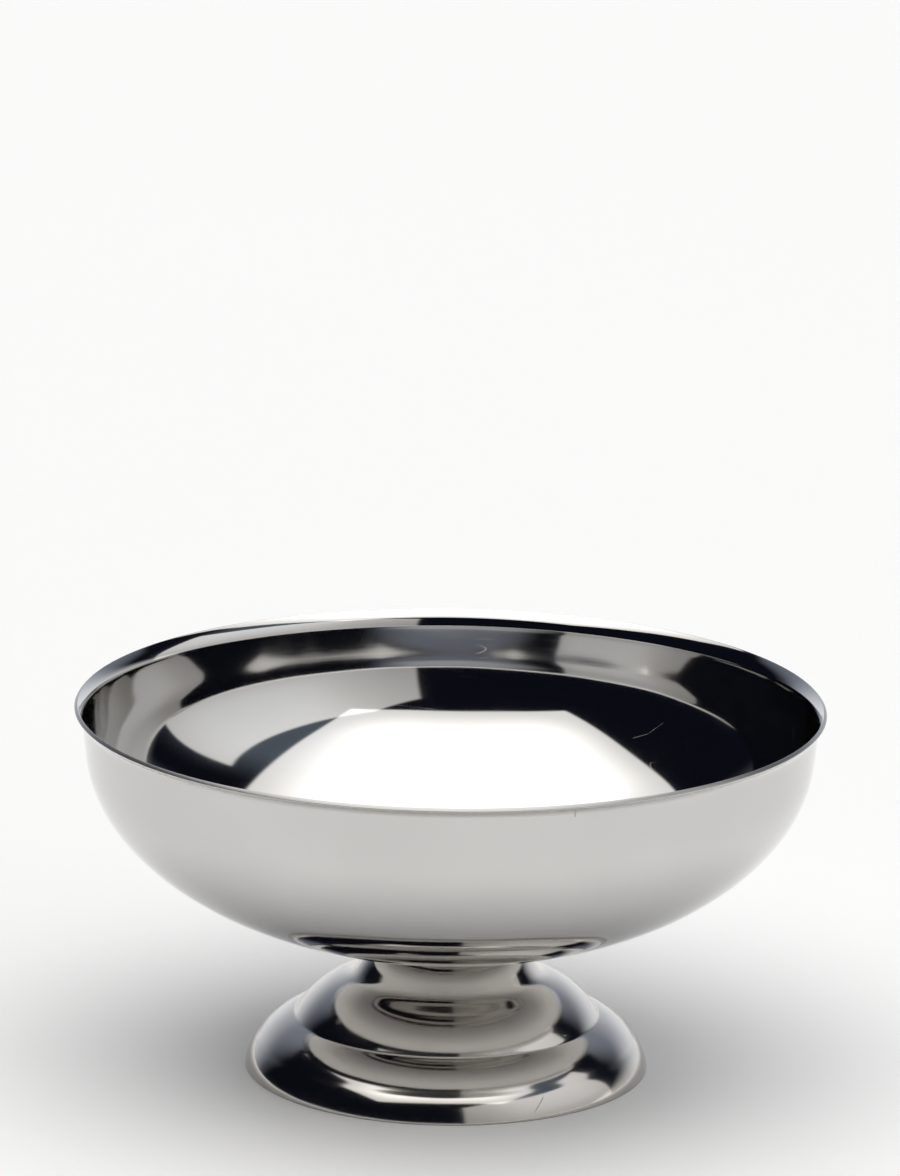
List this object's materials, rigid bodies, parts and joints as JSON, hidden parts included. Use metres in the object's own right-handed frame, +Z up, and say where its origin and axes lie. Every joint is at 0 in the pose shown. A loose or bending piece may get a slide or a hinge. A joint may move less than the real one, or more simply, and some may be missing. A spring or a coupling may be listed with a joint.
{
  "type": "footed ice cream bowl",
  "caption": "Shallow round bowl of polished sheet steel with a flared lip, welded to a hollow stepped foot, for serving ice cream and other desserts.",
  "frame": {"origin": "centre of the circle that the foot's bottom edge stands on", "axes": "+Z up along the axis that bowl and foot are turned about; X and Y are free, since the pressings are round"},
  "size_m": [0.12, 0.12, 0.06],
  "materials": {
    "bowl_steel": "mirror polished, with faint scuffs",
    "foot_steel": "mirror polished, with faint scuffs",
    "weld_steel": "as welded, faintly heat tinted"
  },
  "bodies": {
    "root": {"bowl": "bowl_steel", "foot": "foot_steel", "weld_1": "weld_steel", "weld_2": "weld_steel", "weld_3": "weld_steel", "weld_4": "weld_steel"}
  },
  "joints": []
}
